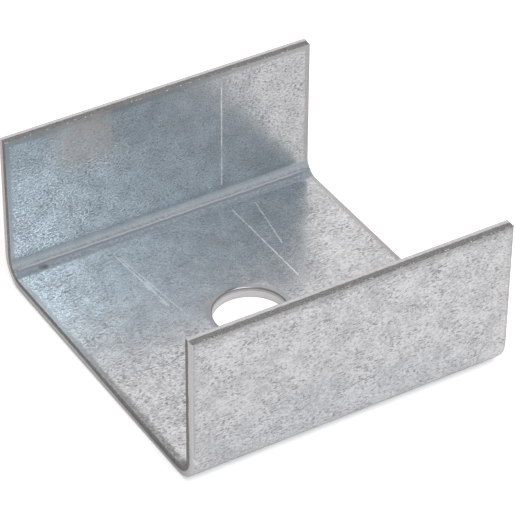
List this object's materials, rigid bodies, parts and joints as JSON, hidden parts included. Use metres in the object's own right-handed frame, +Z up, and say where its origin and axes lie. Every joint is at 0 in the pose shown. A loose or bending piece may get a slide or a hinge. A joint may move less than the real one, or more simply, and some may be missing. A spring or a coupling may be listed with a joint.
{
  "type": "u bracket",
  "caption": "U-shaped bracket folded from galvanised sheet steel: upright flanges on both sides of a flat base with a central bolt hole, for seating a timber.",
  "frame": {"origin": "centre of the base's underside, on the axis of the bolt hole", "axes": "+X along the bends, +Y across the channel towards the back flange, +Z up out of the base, the way the flanges stand"},
  "size_m": [0.05, 0.0536, 0.0244],
  "materials": {
    "zinc_coated_steel": "satin galvanised zinc with a fine dull grain and bare sheared edges"
  },
  "bodies": {
    "root": {"u_bracket": "zinc_coated_steel"}
  },
  "joints": []
}
